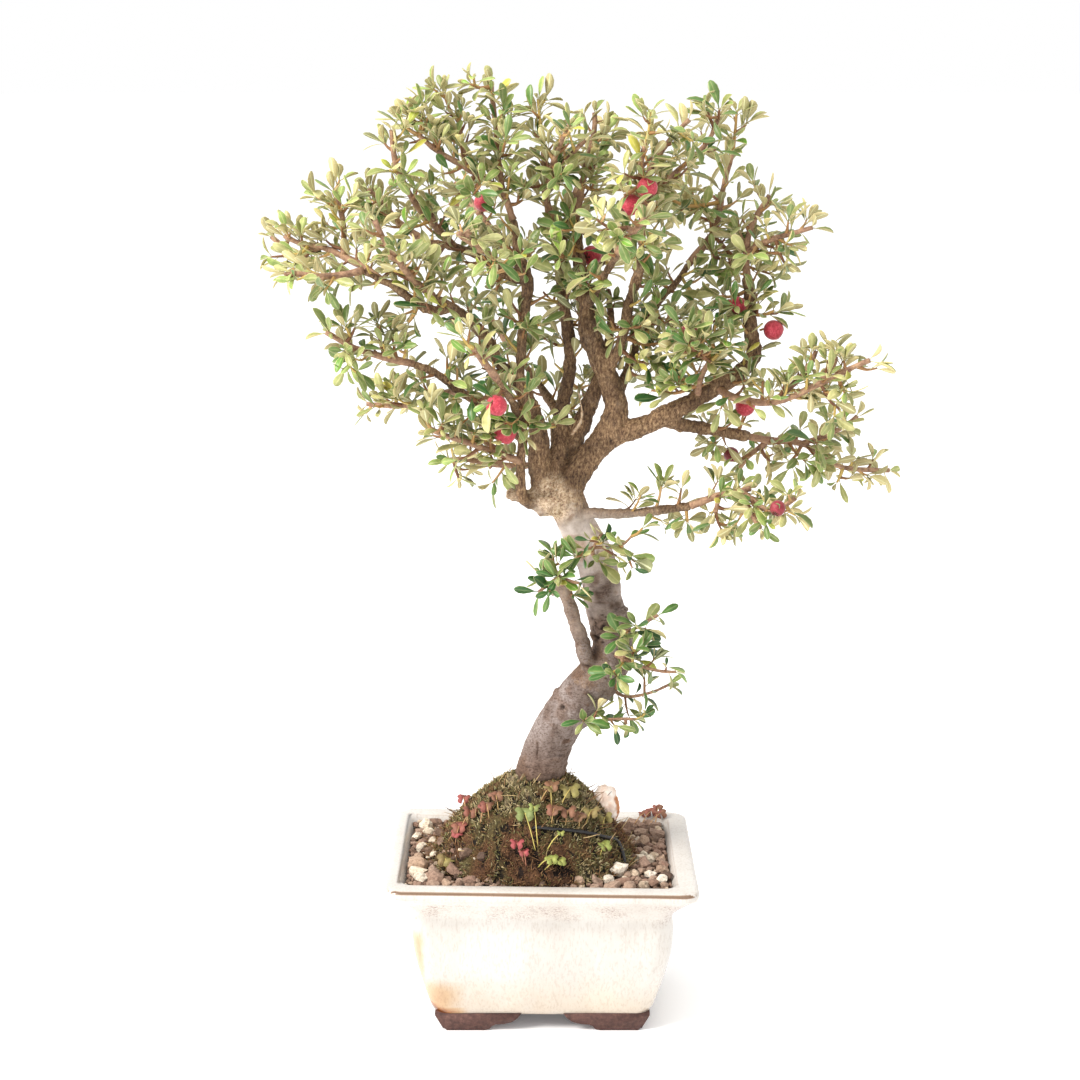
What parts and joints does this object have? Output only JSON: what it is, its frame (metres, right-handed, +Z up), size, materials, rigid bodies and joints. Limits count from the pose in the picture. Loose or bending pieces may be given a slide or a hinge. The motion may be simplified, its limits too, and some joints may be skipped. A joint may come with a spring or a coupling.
{
  "type": "wall cotoneaster bonsai",
  "caption": "Small-leaved wall cotoneaster trained as a bonsai, with a crooked trunk, a broad airy crown and red berries, in a rectangular cream glazed pot on cloud feet.",
  "frame": {"origin": "middle of the whole tree's outer box, on the surface that the pot's feet stand on", "axes": "+Z up, -Y out of the pot's long front, +X to the right seen from the front"},
  "size_m": [0.2748, 0.132, 0.4032],
  "materials": {
    "glaze": "cream white glaze, thin and brown on the edges, over stoneware; the feet are unglazed brown",
    "grit": "loose grit of pumice and pinkish brown lumps, matte",
    "moss": "dark olive and brown moss over a root ball, matte",
    "pale_stone": "pinkish white stone with an orange edge, matte",
    "dark_wire": "black coated wire, satin",
    "plastic_mesh": "black plastic mesh, matte",
    "bark": "grey mauve bark, smooth with brown patches low down, rougher and tan on the limbs",
    "leaves": "small leathery leaves, grey green to olive, some dark and glossy, on brown twigs",
    "berry_skin": "crimson pink, satin",
    "sorrel_leaf": "thin trefoil leaves, green, lime, olive or red"
  },
  "bodies": {
    "root": {"pot": "glaze", "soil": "grit", "moss_mound": "moss", "white_stone": "pale_stone", "tie_wire": "dark_wire", "drainage_mesh_left": "plastic_mesh", "drainage_mesh_right": "plastic_mesh", "mesh_clip_left": "dark_wire", "mesh_clip_right": "dark_wire", "trunk_and_branches": "bark", "spray_back_left": "leaves", "spray_back_low": "leaves", "spray_back_right": "leaves", "spray_back_top": "leaves", "spray_crown_left": "leaves", "spray_crown_right": "leaves", "spray_front_left": "leaves", "spray_front_low": "leaves", "spray_front_right": "leaves", "spray_leader_top": "leaves", "spray_left_fork": "leaves", "spray_left_tip": "leaves", "spray_long_left": "leaves", "spray_low_left": "leaves", "spray_low_tip": "leaves", "spray_lowest_left": "leaves", "spray_middle_left": "leaves", "spray_red_shoot": "leaves", "spray_right_bud": "leaves", "spray_right_far": "leaves", "spray_right_inner": "leaves", "spray_right_shoulder": "leaves", "spray_right_top": "leaves", "spray_side_stem": "leaves", "spray_trunk_low": "leaves", "spray_trunk_middle": "leaves", "spray_trunk_right": "leaves", "spray_trunk_upper": "leaves", "spray_trunk_wound": "leaves", "spray_under_left": "leaves", "spray_upper_left": "leaves", "spray_upper_right": "leaves", "berry_1": "berry_skin", "berry_2": "berry_skin", "berry_3": "berry_skin", "berry_4": "berry_skin", "berry_5": "berry_skin", "berry_6": "berry_skin", "berry_7": "berry_skin", "berry_8": "berry_skin", "berry_9": "berry_skin", "berry_10": "berry_skin", "berry_11": "berry_skin", "berry_12": "berry_skin", "wood_sorrel_green": "sorrel_leaf", "wood_sorrel_lime": "sorrel_leaf", "wood_sorrel_olive": "sorrel_leaf", "wood_sorrel_pink": "sorrel_leaf", "wood_sorrel_red": "sorrel_leaf"}
  },
  "joints": []
}
